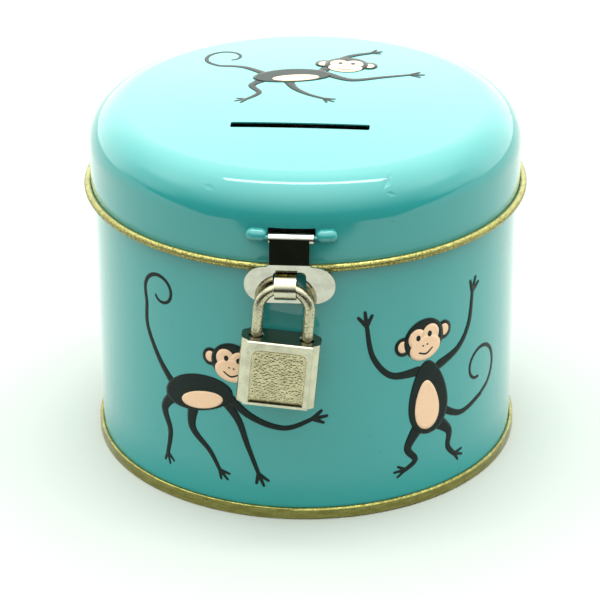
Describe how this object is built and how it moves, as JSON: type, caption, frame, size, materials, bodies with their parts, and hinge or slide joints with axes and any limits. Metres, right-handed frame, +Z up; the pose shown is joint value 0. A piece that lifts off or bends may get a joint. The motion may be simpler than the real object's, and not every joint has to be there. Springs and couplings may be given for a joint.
{
  "type": "money box",
  "caption": "Round tinplate money box with a domed hinged lid, a coin slot, a rolled rim, a hasp over a staple and a small padlock.",
  "frame": {"origin": "centre of the plane the box stands on", "axes": "+Z up, hasp and padlock face -Y, lid hinge at +Y, coin slot runs along X"},
  "size_m": [0.1048, 0.1133, 0.0848],
  "materials": {
    "printed_tin": "gloss printed lacquer on tinplate",
    "gold_tin": "worn gold lacquer on tinplate",
    "nickel_sheet": "bright nickel plated steel sheet",
    "steel_wire": "nickel plated steel wire",
    "nickel_cast": "nickel plated die casting",
    "cast_core": "plain die casting",
    "brass_lock": "plain brass"
  },
  "bodies": {
    "box": {"body_wall": "printed_tin", "bottom_end": "gold_tin", "staple_loop": "nickel_sheet", "hinge_leaf_body": "nickel_sheet", "hinge_pin": "steel_wire", "hinge_rivets_body": "steel_wire"},
    "lid": {"lid_shell": "printed_tin", "hinge_leaf_lid": "nickel_sheet", "hinge_rivets_lid": "steel_wire"},
    "hasp": {"hasp_strap": "nickel_sheet"},
    "shackle": {"shackle": "steel_wire"},
    "lock": {"lock_case": "nickel_cast", "lock_core": "cast_core", "lock_bottom_plate": "nickel_sheet", "heel_pin": "steel_wire", "plug_pin": "steel_wire", "shackle_spring": "steel_wire"},
    "plug": {"key_plug": "brass_lock", "lock_wafers": "brass_lock", "wafer_springs": "steel_wire"},
    "bolt": {"lock_bolt": "brass_lock"}
  },
  "joints": [
    {"name": "lid_hinge", "type": "hinge", "parent": "box", "child": "lid", "pos_m": [0, 0.054, 0.0645], "axis": [-1, 0, 0], "range_deg": [0, 105]},
    {"name": "hasp_swing", "type": "hinge", "parent": "lid", "child": "hasp", "pos_m": [0, -0.0518, 0.07175], "axis": [-1, 0, 0], "range_deg": [0, 150]},
    {"name": "padlock_off", "type": "slide", "parent": "box", "child": "shackle", "axis": [0, -1, 0], "range_m": [0, 0.08]},
    {"name": "case_drop", "type": "slide", "parent": "shackle", "child": "lock", "axis": [-0.0906, 0, -0.9959], "range_m": [0, 0.0049], "deforming": ["shackle_spring"]},
    {"name": "key_turn", "type": "hinge", "parent": "lock", "child": "plug", "pos_m": [-0.00247, -0.0543, 0.04069], "axis": [-0.0906, 0, -0.9959], "range_deg": [0, 90]},
    {"name": "bolt_draw", "type": "slide", "parent": "lock", "child": "bolt", "axis": [-0.9959, 0, 0.0906], "range_m": [0, 0.00184]}
  ],
  "couplings": [
    {"joint": "hasp_swing", "follows": "padlock_off", "rad_per_m": 32.72},
    {"joint": "key_turn", "follows": "case_drop", "rad_per_m": 320.57},
    {"joint": "bolt_draw", "follows": "case_drop", "ratio": 0.3752}
  ]
}
